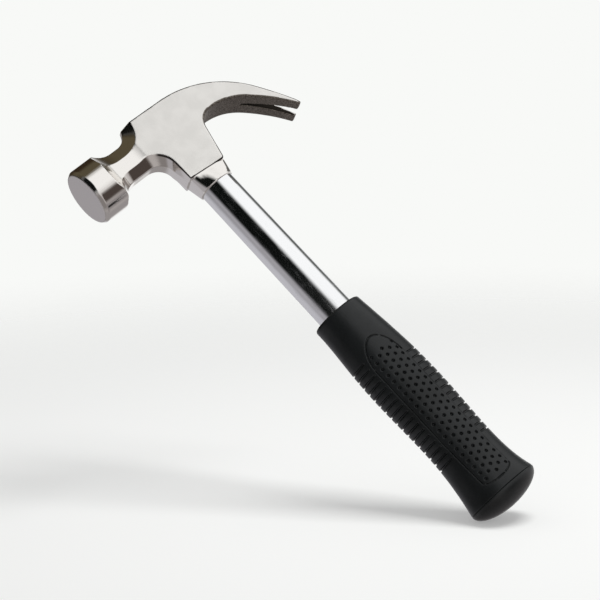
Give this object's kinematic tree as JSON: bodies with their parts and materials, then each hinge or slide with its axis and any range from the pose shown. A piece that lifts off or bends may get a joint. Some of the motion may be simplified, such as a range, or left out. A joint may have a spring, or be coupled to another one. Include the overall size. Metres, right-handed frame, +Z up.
{
  "type": "claw hammer",
  "caption": "Claw hammer with a forged steel head and split curved claws, a bare tapered steel tube handle and a contoured rubber grip, for driving and pulling nails",
  "frame": {"origin": "On the handle's axis at the lower rim of the head's socket, where the bare tube comes out and where a rack holds the hammer under its head", "axes": "+Z up along the handle to the head, -X towards the striking face, +X towards the claws, Y across the cheeks"},
  "size_m": [0.1234, 0.032, 0.2814],
  "materials": {
    "forged_steel": "satin",
    "plated_tube": "polished",
    "wedge_steel": "machined",
    "plug_plastic": "matte",
    "grip_rubber": "matte"
  },
  "bodies": {
    "root": {"hammer_head": "forged_steel", "handle_tube": "plated_tube", "eye_wedge": "wedge_steel", "tube_end_plug": "plug_plastic", "grip_sleeve": "grip_rubber", "butt_cap": "grip_rubber"}
  },
  "joints": []
}
